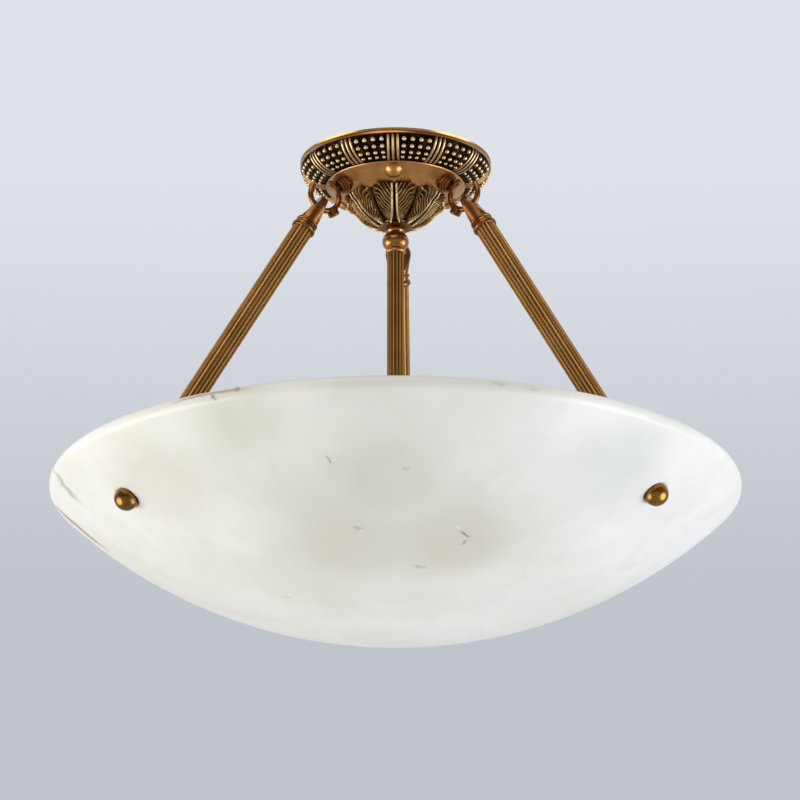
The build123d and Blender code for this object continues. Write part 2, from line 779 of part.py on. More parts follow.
def lampholder():
    stud = holder_stud_diameter / 2
    stud_end = cluster_radius - holder_stud_length
    bore = cap_diameter / 2 + thread_gap
    pocket = cap_start_station - contact_length - mouth_gap
    shoulder = holder_station + holder_taper
    rim_start = holder_mouth_station - holder_rim_height
    body = turned(Polyline(
        (0, stud_end), (stud, stud_end), (stud, holder_station - holder_stud_length / 2),
        (holder_root_radius, holder_station - holder_stud_length / 2), (holder_root_radius, holder_station),
        (holder_radius, shoulder), (holder_radius, rim_start), (holder_rim_radius, rim_start),
        (holder_rim_radius, holder_mouth_station), (bore, holder_mouth_station), (bore, pocket), (0, pocket),
        (0, stud_end)))
    keep_stud = pin(stud, stud_end, holder_station)
    cluster = Pos(0, 0, lamp_level) * pin(cluster_radius + seat_gap, -cluster_height, cluster_height)
    return (lamp_frame * body - cluster) + lamp_frame * keep_stud


def lampholder_nut():
    wall_inside = cluster_radius - cluster_wall - seat_gap
    outer_end = sqrt(wall_inside ** 2 - holder_nut_radius ** 2)
    bore = holder_stud_diameter / 2 + thread_gap
    return lamp_frame * sleeve(holder_nut_radius, bore, outer_end - holder_nut_height, outer_end)


def bulb_cap():
    radius = cap_diameter / 2
    contact_end = cap_start_station - contact_length
    return turned_along(lamp_frame, Polyline(
        (0, contact_end), (contact_radius, contact_end), (radius, cap_start_station),
        (radius, cap_end_station), (0, cap_end_station), (0, contact_end)))


def bulb_glass():
    """Blown envelope: a ball on a short neck, open where the cap closes it."""
    ball = bulb_diameter / 2
    centre = cap_end_station + bulb_length - ball
    neck = bulb_neck_diameter / 2
    meet = centre - sqrt(ball ** 2 - neck ** 2)
    inner_ball = ball - glass_wall
    inner_neck = neck - glass_wall
    inner_meet = centre - sqrt(inner_ball ** 2 - inner_neck ** 2)
    return turned_along(
        lamp_frame,
        Line((neck, cap_end_station), (neck, meet)),
        ThreePointArc((neck, meet), (ball, centre), (0, centre + ball)),
        Line((0, centre + ball), (0, centre + inner_ball)),
        ThreePointArc((0, centre + inner_ball), (inner_ball, centre), (inner_neck, inner_meet)),
        Polyline((inner_neck, inner_meet), (inner_neck, cap_end_station), (neck, cap_end_station)),
    )


nodes = {
    "ceiling_bracket": ceiling_bracket(),
    "terminal_block": terminal_block(),
    "canopy_flange": canopy_flange(),
    "canopy_dish": canopy_dish(),
    "canopy_screws": ring_of(lamp_azimuths, canopy_screw()),
    "acanthus_cup": acanthus_cup(),
    "stem_nipple": stem_nipple(),
    "stem_washer": stem_washer(),
    "stem_lock_nut": stem_lock_nut(),
    "stem_ball": stem_ball(),
    "stem_collar": stem_collar(),
    "stem_tube": stem_tube(),
    "hook_saddles": ring_of(arm_azimuths, hook_saddle()),
    "hook_nuts": ring_of(arm_azimuths, hook_nut()),
    "foot_washers": ring_of(arm_azimuths, foot_washer()),
    "finial_washers": ring_of(arm_azimuths, finial_washer()),
    "alabaster_bowl": alabaster_bowl(),
    "lower_nipple": lower_nipple(),
    "cluster_body": cluster_body(),
    "cluster_lock_nut": cluster_lock_nut(),
    "cluster_cover": cluster_cover(),
    "cluster_knob": cluster_knob(),
    "lampholder_nuts": ring_of(lamp_azimuths, lampholder_nut()),
}
arm_pieces = {
    "hook_boss": hook_boss(),
    "hook": hook(),
    "ferrule": ferrule(),
    "arm_tube": arm_tube(),
    "arm_rod": arm_rod(),
    "arm_foot": arm_foot(),
    "finial": finial(),
}
for name, piece in arm_pieces.items():
    for side, azimuth in arm_azimuths.items():
        nodes[f"{name}_{side}"] = around(azimuth, piece)
lamp_pieces = {
    "lampholder": lampholder(),
    "bulb_cap": bulb_cap(),
    "bulb_glass": bulb_glass(),
}
for name, piece in lamp_pieces.items():
    for side, azimuth in lamp_azimuths.items():
        nodes[f"{name}_{side}"] = around(azimuth, piece)

os.makedirs("parts", exist_ok=True)
for name, shape in nodes.items():
    export_step(shape, f"parts/{name}.step")
print(len(nodes), "nodes; arms tilted", round(arm_tilt, 5), "degrees from ring centres at radius",
      round(ring_centre_radius, 4), "and height", round(ring_centre_height, 4))
print("arm tube from", round(ferrule_station, 4), "to", round(foot_top_station, 4), "on its axis")
print("lamps at height", round(lamp_level, 2), "and bowl bottom at", round(bowl_bottom, 1))
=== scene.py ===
# %% [markdown]
# An alabaster bowl ceiling light
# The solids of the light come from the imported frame: a cast canopy, three fluted arms on ring hooks, a
# fluted stem and a stone bowl. This lesson dresses them. Plain turned pieces keep their solids and only
# get a finish. The cast and fluted pieces are drawn again with their fine relief, because relief this
# small is surface work and the solids only carry its main forms.

# %% Load the frame
import json
from math import cos, pi, radians, sin

import bpy
import numpy as np
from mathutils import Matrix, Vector


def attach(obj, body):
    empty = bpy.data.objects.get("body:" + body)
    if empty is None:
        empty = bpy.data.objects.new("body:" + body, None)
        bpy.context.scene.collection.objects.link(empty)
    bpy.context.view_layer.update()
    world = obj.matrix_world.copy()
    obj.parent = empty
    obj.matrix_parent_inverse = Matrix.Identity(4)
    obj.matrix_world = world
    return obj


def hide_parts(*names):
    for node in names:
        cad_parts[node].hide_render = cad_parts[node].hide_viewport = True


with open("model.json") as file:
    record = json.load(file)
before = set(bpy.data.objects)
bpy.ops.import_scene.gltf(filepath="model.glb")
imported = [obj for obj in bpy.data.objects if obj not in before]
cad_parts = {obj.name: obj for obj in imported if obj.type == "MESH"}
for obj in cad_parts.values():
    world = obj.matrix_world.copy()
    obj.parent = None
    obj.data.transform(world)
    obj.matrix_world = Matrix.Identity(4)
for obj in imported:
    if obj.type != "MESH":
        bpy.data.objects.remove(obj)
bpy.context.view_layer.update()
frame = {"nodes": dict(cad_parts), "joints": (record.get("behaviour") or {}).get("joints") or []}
nodes = frame["nodes"]
mm = 0.001
print("loaded", len(nodes), "solids")

# %% [markdown]
# Helpers for every finish
# A finish is a small net of shader nodes. It could be drawn by hand in the shader editor, but written
# down it can be read and run again. One function adds a node with its settings and its inputs, where an
# input is either a number or the output of another node. Colours are written as the sRGB hex values that
# a painter would pick, and turned to the linear values that the renderer works in.

# %% Colour and node helpers


def linear(text):
    """Linear RGBA of an sRGB hex colour."""
    channels = [int(text[i:i + 2], 16) / 255 for i in (1, 3, 5)]
    return tuple(c / 12.92 if c <= 0.04045 else ((c + 0.055) / 1.055) ** 2.4 for c in channels) + (1.0,)


def add(tree, kind, inputs=None, **settings):
    """Adds one node, with its settings and with its inputs set or linked."""
    node = tree.nodes.new(kind)
    for name, value in settings.items():
        setattr(node, name, value)
    for name, value in (inputs or {}).items():
        if isinstance(value, bpy.types.NodeSocket):
            tree.links.new(value, node.inputs[name])
        else:
            node.inputs[name].default_value = value
    return node


def new_finish(name):
    """A material, its node tree and its main shader."""
    finish = bpy.data.materials.new(name)
    finish.use_nodes = True
    tree = finish.node_tree
    return finish, tree, tree.nodes["Principled BSDF"]


print("helpers ready")

# %% [markdown]
# Alabaster, turned and rubbed to a satin polish
# Alabaster is a soft pale stone that lets light in a little. The turner rubs it to a satin polish, and it
# shows broad clouds of grey and cream, a few brown and green veins and some small healed chips. It could
# be painted on the bowl, but a formula of the place in the stone also carries each vein through to the
# inside. Clouds are two noises of different size, and a few clouds that have a place of their own. The
# big one in the middle and the two beside the side finials are partly painted shade. Veins are thin
# sheets in the stone, so each is drawn where a slightly wavy plane cuts the surface. A pale line beside
# three of the chips is a painted highlight on the chip's edge.

# %% Clouds and veins of the stone
cloud_size, wisp_size = 120 * mm, 34 * mm
stone_pale, stone_cream, stone_wisp = "#F5F4F0", "#EBEAE2", "#E0DFD4"

# Places and sizes of the stone's marks are in millimetres.
# Each cloud: colour, the point of the bowl that it lies round and how far it reaches; some are partly
# painted shade.
stone_clouds_and_painted_shade = [
    # The big grey cloud over the middle of the bowl is partly painted shade: the middle, lit from the sides,
    # is darker.
    ("#D7D7CC", (0, -155, -323), 170),
    ("#D3CDC0", (45, -125, -335), 50),
    # Beside the left finial, on its inner side: an olive tint of the stone, and partly painted shade of the
    # finial.
    ("#DEDCCF", (-160, -135, -292), 60),
    ("#D7D3C8", (-31, -130, -335), 50),
    # Beside the right finial, on its inner side: partly painted shade of the finial.
    ("#DCDFD8", (151, -153, -289), 60),
    ("#D2D4C6", (1, -192, -305), 50),
    ("#DBDBCC", (-98, -221, -268), 45),
]

# Each vein, chip or painted chip highlight: colour, direction across it, a point of it, its reach, width and
# waviness.
stone_veins_and_painted_highlights = [
    ("#A98562", (-0.22, 0.97, 0.13), (-231, 16, -277), 36, 10, 12),
    ("#C0C2B0", (-0.49, 0.84, 0.23), (-233, -61, -269), 24, 6, 22),
    ("#BFA088", (0.31, 0.57, 0.77), (-119, -219, -254), 40, 2.2, 3),
    ("#A89C86", (-0.14, 0.78, -0.61), (-116, -222, -258), 5, 1.6, 4),
    ("#A89C86", (-0.14, 0.78, -0.61), (-99, -228, -254), 4, 2, 4),
    ("#DCD5C8", (-0.19, 0.69, -0.70), (77, -240, -258), 9, 1.4, 3),
    ("#DCD5C8", (-0.30, 0.66, -0.69), (101, -231, -259), 7, 1.4, 3),
    ("#AFB09C", (-0.83, 0.51, -0.23), (-39, -202, -296), 5.5, 1.4, 5),
    ("#CDCDBF", (-0.22, 0.81, -0.54), (13, -197, -301), 4.5, 3, 4),
    ("#BDBAAA", (-0.42, 0.84, -0.35), (-21, -147, -328), 6, 2.8, 6),
    ("#7E7B66", (-0.67, 0.65, -0.37), (52, -136, -330), 6.5, 1.6, 6),
    ("#A8A48E", (0.80, 0.59, -0.10), (51, -128, -333), 4, 1.4, 5),
    ("#C2BDAE", (-0.27, 0.92, -0.30), (20, -106, -344), 6.5, 3, 5),
    ("#C6C4B4", (0.15, 0.97, -0.17), (-75, -49, -349), 4.5, 1.4, 4),
    # Painted highlights: a pale line along the lit edge of each of the three chips above.
    ("#E6E5DE", (-0.42, 0.84, -0.35), (-19, -145, -329), 2.6, 2, 2),
    ("#ECEBE5", (-0.67, 0.65, -0.37), (47, -144, -327), 2.6, 1.6, 2),
    ("#E6E5DE", (-0.27, 0.92, -0.30), (22, -101, -345), 2.6, 2, 2),
]


def round_point(tree, place, middle, reach):
    """The way from a point to each place of the stone, and 1 at the point fading to 0 at its reach."""
    away = add(tree, "ShaderNodeVectorMath", {0: place, 1: Vector(middle) * mm}, operation="SUBTRACT")
    far = add(tree, "ShaderNodeVectorMath", {0: away.outputs["Vector"]}, operation="LENGTH")
    near = add(tree, "ShaderNodeMapRange",
               {"Value": far.outputs["Value"], "From Min": reach * mm, "From Max": reach * mm / 4},
               interpolation_type="SMOOTHSTEP")
    return away.outputs["Vector"], near.outputs[0]


def vein(tree, place, across, middle, reach, width, waviness):
    """0 to 1 where a wavy sheet through middle, square to across, cuts the stone within reach of middle."""
    ripple = add(tree, "ShaderNodeTexNoise", {"Vector": place, "Scale": 2 / (reach * mm), "Detail": 4.0})
    shift = add(tree, "ShaderNodeMath", {0: ripple.outputs["Fac"], 1: 0.5}, operation="SUBTRACT")
    away, near = round_point(tree, place, middle, reach)
    side = add(tree, "ShaderNodeVectorMath", {0: away, 1: Vector(across).normalized()},
               operation="DOT_PRODUCT")
    bent = add(tree, "ShaderNodeMath", {0: shift.outputs[0], 1: waviness * mm, 2: side.outputs["Value"]},
               operation="MULTIPLY_ADD")
    off = add(tree, "ShaderNodeMath", {0: bent.outputs[0]}, operation="ABSOLUTE")
    line = add(tree, "ShaderNodeMapRange",
               {"Value": off.outputs[0], "From Min": width * mm, "From Max": 0.0},
               interpolation_type="SMOOTHSTEP")
    return add(tree, "ShaderNodeMath", {0: line.outputs[0], 1: near}, operation="MULTIPLY").outputs[0]


print(len(stone_clouds_and_painted_shade), "clouds and", len(stone_veins_and_painted_highlights), "veins and chips")

# %% Alabaster


def stone_ground(tree, place):
    """The stone's colour under its veins: two noises, and the placed clouds, some of them partly painted
    shade.
    """
    clouds = add(tree, "ShaderNodeTexNoise", {"Vector": place, "Scale": 1 / cloud_size, "Detail": 3.0})
    wisps = add(tree, "ShaderNodeTexNoise",
                {"Vector": place, "Scale": 1 / wisp_size, "Detail": 6.0, "Distortion": 0.8})
    cloud = add(tree, "ShaderNodeMapRange",
                {"Value": clouds.outputs["Fac"], "From Min": 0.40, "From Max": 0.62})
    wisp = add(tree, "ShaderNodeMapRange",
               {"Value": wisps.outputs["Fac"], "From Min": 0.50, "From Max": 0.72, "To Max": 0.3})
    drift = add(tree, "ShaderNodeMapRange",
                {"Value": clouds.outputs["Fac"], "From Min": 0.3, "From Max": 0.6,
                 "To Min": 0.5, "To Max": 0.9})
    tone = add(tree, "ShaderNodeMixRGB",
               {"Fac": cloud.outputs[0], "Color1": linear(stone_pale), "Color2": linear(stone_cream)})
    tone = add(tree, "ShaderNodeMixRGB",
               {"Fac": wisp.outputs[0], "Color1": tone.outputs[0], "Color2": linear(stone_wisp)})
    for colour, middle, reach in stone_clouds_and_painted_shade:
        near = round_point(tree, place, middle, reach)[1]
        patch = add(tree, "ShaderNodeMath", {0: near, 1: drift.outputs[0]}, operation="MULTIPLY")
        tone = add(tree, "ShaderNodeMixRGB",
                   {"Fac": patch.outputs[0], "Color1": tone.outputs[0], "Color2": linear(colour)})
    return tone.outputs[0]


def alabaster_finish():
    """Alabaster rubbed to a satin polish: cloudy, with some painted shade and painted chip highlights, and
    soft, because light goes a little way into it.
    """
    finish, tree, stone = new_finish("alabaster_turned_satin")
    place = add(tree, "ShaderNodeTexCoord").outputs["Object"]
    tone = stone_ground(tree, place)
    for colour, across, middle, reach, width, waviness in stone_veins_and_painted_highlights:
        mark = vein(tree, place, across, middle, reach, width, waviness)
        tone = add(tree, "ShaderNodeMixRGB",
                   {"Fac": mark, "Color1": tone, "Color2": linear(colour)}).outputs[0]
    tree.links.new(tone, stone.inputs["Base Color"])
    stone.inputs["Roughness"].default_value = 0.36
    stone.inputs["IOR"].default_value = 1.52
    stone.inputs["Subsurface Weight"].default_value = 0.25
    stone.inputs["Subsurface Radius"].default_value = (1.0, 0.85, 0.65)
    stone.inputs["Subsurface Scale"].default_value = 6 * mm
    return finish


alabaster = alabaster_finish()
print("made", alabaster.name)

# %% [markdown]
# Antiqued brass
# The cast and fluted brass was darkened in a bath and then rubbed back. The rubbing brightens what stands
# proud and leaves the hollows nearly black. A finish could look for hollows by itself while it renders,
# but that is slow and gives soft edges. Here the drawn pieces carry a number at each point, 0 in a hollow
# and 1 on a crest, and the finish mixes its colours by it.

# %% Antiqued brasses
stain_swing = 0.30
hollow_roughness = 0.62


def antique_brass_finish(name, hollow, slope, crest, stain_size, crest_roughness):
    """Brass darkened and rubbed back: dark hollows, brown slopes and golden crests, a little stained."""
    finish, tree, brass = new_finish(name)
    rub = add(tree, "ShaderNodeAttribute", attribute_name="rub").outputs["Fac"]
    place = add(tree, "ShaderNodeTexCoord").outputs["Object"]
    stain = add(tree, "ShaderNodeTexNoise", {"Vector": place, "Scale": 1 / stain_size, "Detail": 2.0})
    worn = add(tree, "ShaderNodeMath", {0: stain.outputs["Fac"], 1: stain_swing, 2: -stain_swing / 2},
               operation="MULTIPLY_ADD")
    level = add(tree, "ShaderNodeMath", {0: rub, 1: worn.outputs[0]}, operation="ADD", use_clamp=True)
    low = add(tree, "ShaderNodeMapRange", {"Value": level.outputs[0], "From Max": 0.5})
    high = add(tree, "ShaderNodeMapRange", {"Value": level.outputs[0], "From Min": 0.5})
    tone = add(tree, "ShaderNodeMixRGB",
               {"Fac": low.outputs[0], "Color1": linear(hollow), "Color2": linear(slope)})
    tone = add(tree, "ShaderNodeMixRGB",
               {"Fac": high.outputs[0], "Color1": tone.outputs[0], "Color2": linear(crest)})
    gloss = add(tree, "ShaderNodeMapRange",
                {"Value": level.outputs[0], "To Min": hollow_roughness, "To Max": crest_roughness})
    tree.links.new(tone.outputs[0], brass.inputs["Base Color"])
    tree.links.new(gloss.outputs[0], brass.inputs["Roughness"])
    brass.inputs["Metallic"].default_value = 1.0
    return finish


# Cast brass: pale shining crests on a nearly black ground.
antique_brass = antique_brass_finish("brass_cast_antiqued", "#120B05", "#946C3A", "#E8CEA4", 5 * mm, 0.30)
# Drawn and fluted brass: satin golden lands between brown flutes.
fluted_brass = antique_brass_finish("brass_drawn_fluted_antiqued", "#281808", "#9C6E38", "#C69A5E",
                                    20 * mm, 0.48)
print("made", antique_brass.name, "and", fluted_brass.name)

# %% [markdown]
# Turned brass
# The plain turned pieces have no hollows. They were brushed or polished in the lathe, so fine lines run
# round them, and some were lacquered. An image of scratches would need unwrapping, so the lines are a
# noise that only knows the distance from the light's axis and the height. Real brush lines are about
# 0.1 mm apart, too fine to show, so they are drawn coarser. Handling leaves broader spots on top.

# %% Turned brasses
handling_size = 16 * mm
gloss_swing = 0.06
lacquer_roughness = 0.12


def turned_brass_finish(name, dark, light, roughness, line_spacing, lacquer):
    """Brass turned round the light's axis, with lines round it and handling spots, lacquered or bare."""
    finish, tree, brass = new_finish(name)
    place = add(tree, "ShaderNodeTexCoord").outputs["Object"]
    flat = add(tree, "ShaderNodeVectorMath", {0: place, 1: (1.0, 1.0, 0.0)}, operation="MULTIPLY")
    radius = add(tree, "ShaderNodeVectorMath", {0: flat.outputs["Vector"]}, operation="LENGTH")
    height = add(tree, "ShaderNodeSeparateXYZ", {0: place})
    turned = add(tree, "ShaderNodeCombineXYZ", {"X": radius.outputs["Value"], "Z": height.outputs["Z"]})
    lines = add(tree, "ShaderNodeTexNoise",
                {"Vector": turned.outputs[0], "Scale": 1 / line_spacing, "Detail": 3.0})
    spots = add(tree, "ShaderNodeTexNoise", {"Vector": place, "Scale": 1 / handling_size, "Detail": 3.0})
    blend = add(tree, "ShaderNodeMath", {0: lines.outputs["Fac"], 1: spots.outputs["Fac"]}, operation="ADD")
    share = add(tree, "ShaderNodeMapRange", {"Value": blend.outputs[0], "From Min": 0.75, "From Max": 1.25})
    tone = add(tree, "ShaderNodeMixRGB",
               {"Fac": share.outputs[0], "Color1": linear(dark), "Color2": linear(light)})
    gloss = add(tree, "ShaderNodeMapRange",
                {"Value": share.outputs[0], "To Min": roughness + gloss_swing,
                 "To Max": roughness - gloss_swing})
    tree.links.new(tone.outputs[0], brass.inputs["Base Color"])
    tree.links.new(gloss.outputs[0], brass.inputs["Roughness"])
    brass.inputs["Metallic"].default_value = 1.0
    brass.inputs["Coat Weight"].default_value = lacquer
    brass.inputs["Coat Roughness"].default_value = lacquer_roughness
    return finish


# Brushed and bronzed brass: a soft warm sheen with fine lines round it.
brushed_brass = turned_brass_finish("brass_brushed_bronzed", "#B47C44", "#DAA66C", 0.34, 0.5 * mm, 0.0)
# Polished brass under lacquer: deep golden brown with pale highlights.
polished_brass = turned_brass_finish("brass_polished_lacquered", "#66420E", "#A06E20", 0.25, 2 * mm, 0.4)
# Spun brass under lacquer: brighter gold, with soft reflections of the room.
spun_brass = turned_brass_finish("brass_spun_lacquered", "#925E28", "#C08A4A", 0.24, 2 * mm, 0.4)
# Forged brass left copper brown by the fire: a broad soft mottle, with no fine lines.
copper_brass = turned_brass_finish("brass_forged_copper_brown", "#7E4E28", "#9A683A", 0.30, 6 * mm, 0.0)
print("made four turned and forged brasses")

# %% [markdown]
# The hidden fittings
# Inside the canopy and the bowl are ordinary fittings: zinc plated steel, white nylon, soft rubber,
# glazed porcelain lampholders, nickel plated lamp caps and opal glass. One plain colour each would look
# like plastic toys. Each gets the slight unevenness that its making leaves, from one noise at that
# material's own scale, because more would never be seen.

# %% Finishes of the fittings
gloss_waver = 0.08


def fitting_finish(name, dark, light, grain, roughness, metallic):
    """A plain material whose colour and gloss waver a little at the scale of its grain."""
    finish, tree, shader = new_finish(name)
    place = add(tree, "ShaderNodeTexCoord").outputs["Object"]
    waver = add(tree, "ShaderNodeTexNoise", {"Vector": place, "Scale": 1 / grain, "Detail": 3.0})
    tone = add(tree, "ShaderNodeMixRGB",
               {"Fac": waver.outputs["Fac"], "Color1": linear(dark), "Color2": linear(light)})
    gloss = add(tree, "ShaderNodeMapRange",
                {"Value": waver.outputs["Fac"], "To Min": roughness + gloss_waver,
                 "To Max": roughness - gloss_waver})
    tree.links.new(tone.outputs[0], shader.inputs["Base Color"])
    tree.links.new(gloss.outputs[0], shader.inputs["Roughness"])
    shader.inputs["Metallic"].default_value = metallic
    return finish


# Zinc plating: a grey crystal mottle, half bright.
zinc_steel = fitting_finish("steel_zinc_plated", "#9A9C9C", "#C2C2BC", 3 * mm, 0.38, 1.0)
# Moulded nylon: milky white with a waxy sheen.
white_nylon = fitting_finish("nylon_moulded_white", "#DAD8CE", "#ECEAE2", 6 * mm, 0.45, 0.0)
# Rubber cut from sheet: dull and nearly black.
soft_rubber = fitting_finish("rubber_cut_sheet", "#2A2825", "#3C3935", 2 * mm, 0.75, 0.0)
# Glazed porcelain: ivory, with the sharp gloss of its glaze.
porcelain = fitting_finish("porcelain_glazed_ivory", "#E4DDC8", "#F0EADA", 10 * mm, 0.16, 0.0)
# Nickel plate on brass: a warm silver.
nickel = fitting_finish("brass_nickel_plated", "#B2AFA6", "#D0CCC2", 4 * mm, 0.26, 1.0)
# Blown opal glass: an even, nearly white gloss.
opal_glass = fitting_finish("glass_blown_opal", "#ECEAE2", "#F8F6F0", 14 * mm, 0.22, 0.0)
print("made six fitting finishes")

# %% [markdown]
# Finishes on the solids
# On the bench each piece goes into a tray with the others of its finish. The same can be done by naming
# every solid, but the first words of a name say enough, and where two match, the longer one counts.
# Solids that are drawn again below get a finish too, and are then replaced.

# %% Put the finishes on the solids
starts_of_finish = [
    (alabaster, ["alabaster"]),
    (antique_brass, ["canopy_flange", "acanthus"]),
    (fluted_brass, ["stem_tube", "arm_tube"]),
    (brushed_brass, ["canopy_dish", "canopy_screws", "stem_collar", "arm_foot", "cluster"]),
    (polished_brass, ["finial"]),
    (spun_brass, ["stem_ball", "cluster_knob"]),
    (copper_brass, ["ferrule", "hook"]),
    (zinc_steel, ["ceiling_bracket", "stem_nipple", "stem_washer", "stem_lock", "hook_saddles", "hook_nuts",
                  "lower_nipple", "cluster_lock", "lampholder_nuts", "arm_rod"]),
    (white_nylon, ["terminal"]),
    (soft_rubber, ["foot_washers", "finial_washers"]),
    (porcelain, ["lampholder"]),
    (nickel, ["bulb_cap"]),
    (opal_glass, ["bulb_glass"]),
]
finish_by_start = {start: finish for finish, starts in starts_of_finish for start in starts}
for name, solid in nodes.items():
    matching = [start for start in finish_by_start if name.startswith(start)]
    solid.data.materials.clear()
    solid.data.materials.append(finish_by_start[max(matching, key=len)])
print("finished", len(nodes), "solids")

# %% [markdown]
# Drawing a piece from rows of points
# Cast and drawn relief could be modelled by hand, or pressed into a surface by an image. A formula over a
# grid is exact and easy to change: rows follow an outline and columns go round. The helpers below give the
# points of an arc, the faces between rows, and a piece from points and faces. Outlines are written in
# millimetres and scaled when the mesh is made.

# %% Points and faces


def arc(start, end, bulge, count):
    """Points from start to end on the arc that stands off its chord, to the left, by bulge."""
    start, end = np.array(start), np.array(end)
    chord = np.linalg.norm(end - start)
    ahead = (end - start) / chord
    left = np.array([-ahead[1], ahead[0]])
    radius = (chord ** 2 / 4 + bulge ** 2) / (2 * bulge)
    turn = 2 * np.arctan(2 * bulge / chord)
    angles = np.linspace(-turn, turn, count)[:, None]
    stand = radius * np.cos(angles) - radius + bulge
    return (start + end) / 2 + left * stand + ahead * radius * np.sin(angles)


def grid_faces(rows, columns, first=0, rows_close=False, columns_close=False):
    """Faces of a grid of points, numbered from first, whose rows or columns may close on themselves."""
    last_row = rows if rows_close else rows - 1
    last_column = columns if columns_close else columns - 1
    row, column = np.meshgrid(np.arange(last_row), np.arange(last_column), indexing="ij")
    below, after = (row + 1) % rows, (column + 1) % columns
    corners = [(row, column), (row, after), (below, after), (below, column)]
    numbers = np.stack([r * columns + c for r, c in corners], axis=-1)
    return (numbers.reshape(-1, 4) + first).tolist()


def turned_grid(outline, columns):
    """Points of an outline of (radius, height) turned round the axis."""
    angles = np.linspace(0, 2 * pi, columns, endpoint=False)
    radius, height = np.array(outline)[:, 0, None], np.array(outline)[:, 1, None]
    grid = [radius * np.cos(angles), radius * np.sin(angles), height + 0 * angles]
    return np.stack(grid, axis=-1)


print("point and face helpers ready")


def make_piece(name, points, faces, finish, body, replaced, rub, crease):
    """A mesh from points in millimetres, tied to a body, in place of the solid that it replaces."""
    mesh = bpy.data.meshes.new(name)
    mesh.from_pydata((np.reshape(points, (-1, 3)) * mm).tolist(), [], faces)
    mesh.materials.append(finish)
    mesh.shade_smooth()
    mesh.set_sharp_from_angle(angle=radians(crease))
    height = mesh.attributes.new("rub", "FLOAT", "POINT")
    height.data.foreach_set("value", np.ravel(rub).astype(np.float32))
    piece = bpy.data.objects.new(name, mesh)
    bpy.context.scene.collection.objects.link(piece)
    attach(piece, body)
    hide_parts(replaced)
    print(name, len(mesh.vertices), "points")
    return piece


# %% [markdown]
# The ring of the canopy flange
# The flange is a casting that hides the hole in the ceiling. It has a plain rounded lip, which is spun
# bright, and a convex face with a dark ground. As on the lathe, an outline is turned round the axis. The
# Screw modifier could turn it too, but the ribs and beads need the formula of the face again. The outline
# runs from the wall's top over the lip, down the face and back up the hollow inside.

# %% Flange ring
lip_edge, lip_height, lip_round = 71.0, 4.3, 0.9
face_top, face_foot, face_bulge = (69.9, -lip_height), (51.6, -17.5), 3.5
wall_top_radius, bore_radius, wall_foot_height = 66.9, 49.7, -14.5
ring_columns, lip_rows, face_rows, hollow_rows = 240, 9, 25, 9
ground_rub, inside_rub = 0.0, 0.3


def flange_ring():
    """Points of the ring, and how far each is rubbed."""
    lip = arc((lip_edge, 0.0), (lip_edge, -lip_height), -lip_round, lip_rows)
    face = arc(face_top, face_foot, face_bulge, face_rows)
    hollow = arc((bore_radius, wall_foot_height), (wall_top_radius, -lip_height), -face_bulge, hollow_rows)
    outline = np.concatenate([[(wall_top_radius, 0.0)], lip, face, [(bore_radius, face_foot[1])], hollow])
    rub = np.full(len(outline), inside_rub)
    rub[1 + lip_rows:1 + lip_rows + face_rows] = ground_rub
    return turned_grid(outline, ring_columns), np.repeat(rub[:, None], ring_columns, axis=1)


ring_points, ring_rub = flange_ring()
print("ring of", ring_points.shape[0], "rows and", ring_points.shape[1], "columns")

# %% [markdown]
# Ribs of the flange
# Twelve groups of three ribs cross the face, and each rib is a half round that follows it. They could be
# a bump pattern, but real shapes catch the light and throw a shadow at the edge of the canopy. A first
# function gives a point of the face and the direction square to it, and a rib stands on such points.

# %% Flange ribs
face_steps = 101
rib_half_width, rib_rise, rib_sink = 1.15, 1.1, 0.15
rib_start, rib_end, rib_rows, rib_columns = 0.02, 0.99, 15, 9
rib_rise_share, rib_fall_share, rib_foot_share = 0.10, 0.05, 0.3
rib_edge_rub, rib_crest_rub = 0.06, 0.90


def flange_face(share):
    """A point of the flange's face and the direction square to it, from the lip at 0 to the foot at 1."""
    face = arc(face_top, face_foot, face_bulge, face_steps)
    ahead = np.gradient(face, axis=0)
    stations = np.linspace(0, 1, face_steps)
    place = np.array([np.interp(share, stations, face[:, axis]) for axis in (0, 1)])
    forward = np.array([np.interp(share, stations, ahead[:, axis]) for axis in (0, 1)])
    forward /= np.linalg.norm(forward)
    return place, np.array([-forward[1], forward[0]])


def flange_rib(middle, offset):
    """One rib: a half round, lower at its ends, set off sideways from the middle of its group."""
    angles = np.radians(np.linspace(-90, 90, rib_columns))
    points = []
    for share in np.linspace(rib_start, rib_end, rib_rows):
        place, square = flange_face(share)
        fade = min(1.0, share / rib_rise_share, (1 - share) / rib_fall_share + rib_foot_share)
        stand = rib_rise * fade * np.cos(angles) - rib_sink
        aside = offset + rib_half_width * np.sin(angles)
        out = np.sqrt((place[0] + square[0] * stand) ** 2 - aside ** 2)
        points.append(np.stack([out, aside, place[1] + square[1] * stand], axis=-1))
    turn = np.array([[cos(middle), sin(middle), 0], [-sin(middle), cos(middle), 0], [0, 0, 1]])
    rub = rib_edge_rub + (rib_crest_rub - rib_edge_rub) * np.cos(angles) ** 2
    return np.array(points) @ turn, np.tile(rub, (rib_rows, 1))


print("a rib has", rib_rows * rib_columns, "points")

# %% [markdown]
# Beads of the flange
# Between the groups of ribs lies a panel of round beads. Whole balls would hide half their faces in the
# flange, so each bead is only the outer half of a ball, set square to the face. It is turned in few steps,
# because it is under 4 mm wide.

# %% Flange beads
bead_sides, bead_steps, bead_top_lean, bead_foot_lean = 12, 6, 6, 95
bead_edge_rub, bead_crest_rub = 0.45, 1.0


